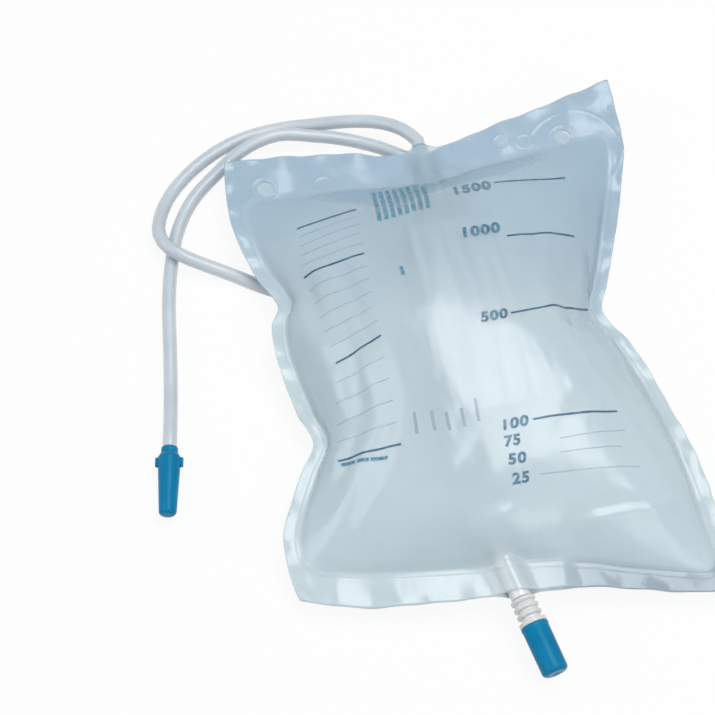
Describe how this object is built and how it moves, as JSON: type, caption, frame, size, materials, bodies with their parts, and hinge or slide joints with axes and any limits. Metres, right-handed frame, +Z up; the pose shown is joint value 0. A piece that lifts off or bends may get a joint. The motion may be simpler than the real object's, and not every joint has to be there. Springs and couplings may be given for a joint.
{
  "type": "urine drainage bag",
  "caption": "See-through drainage bag on its back: welded film pouch with flutter sleeve, hanging holes, looped inlet tube with capped connector, ribbed outlet with pull-off cap.",
  "frame": {"origin": "on the flat resting patch of the back film, under the middle of the bag, at table height", "axes": "+X to the bag's right as seen from above, +Y along the bag from the outlet to the inlet, +Z up from the table through the printed front film"},
  "size_m": [0.2893, 0.3517, 0.061],
  "materials": {
    "clear_film": "glossy, see-through, bluish",
    "milky_film": "satin, milky",
    "sleeve_film": "satin, see-through",
    "clear_vinyl": "glossy, see-through",
    "white_nozzle": "satin, translucent white",
    "blue_plastic": "glossy blue"
  },
  "bodies": {
    "bag": {"front_film": "clear_film", "back_film": "milky_film", "flutter_sleeve": "sleeve_film", "inlet_port": "clear_vinyl", "inlet_tube": "clear_vinyl", "catheter_connector": "blue_plastic", "outlet_tube": "clear_vinyl", "outlet_nozzle": "white_nozzle"},
    "catheter_cap": {"connector_cap": "blue_plastic"},
    "drain_cap": {"outlet_cap": "blue_plastic"}
  },
  "joints": [
    {"name": "connector_cap_slide", "type": "slide", "parent": "bag", "child": "catheter_cap", "axis": [-0.1874, -0.9823, 0], "range_m": [0, 0.03]},
    {"name": "outlet_cap_slide", "type": "slide", "parent": "bag", "child": "drain_cap", "axis": [0.182, -0.9819, -0.0523], "range_m": [0, 0.02]}
  ]
}
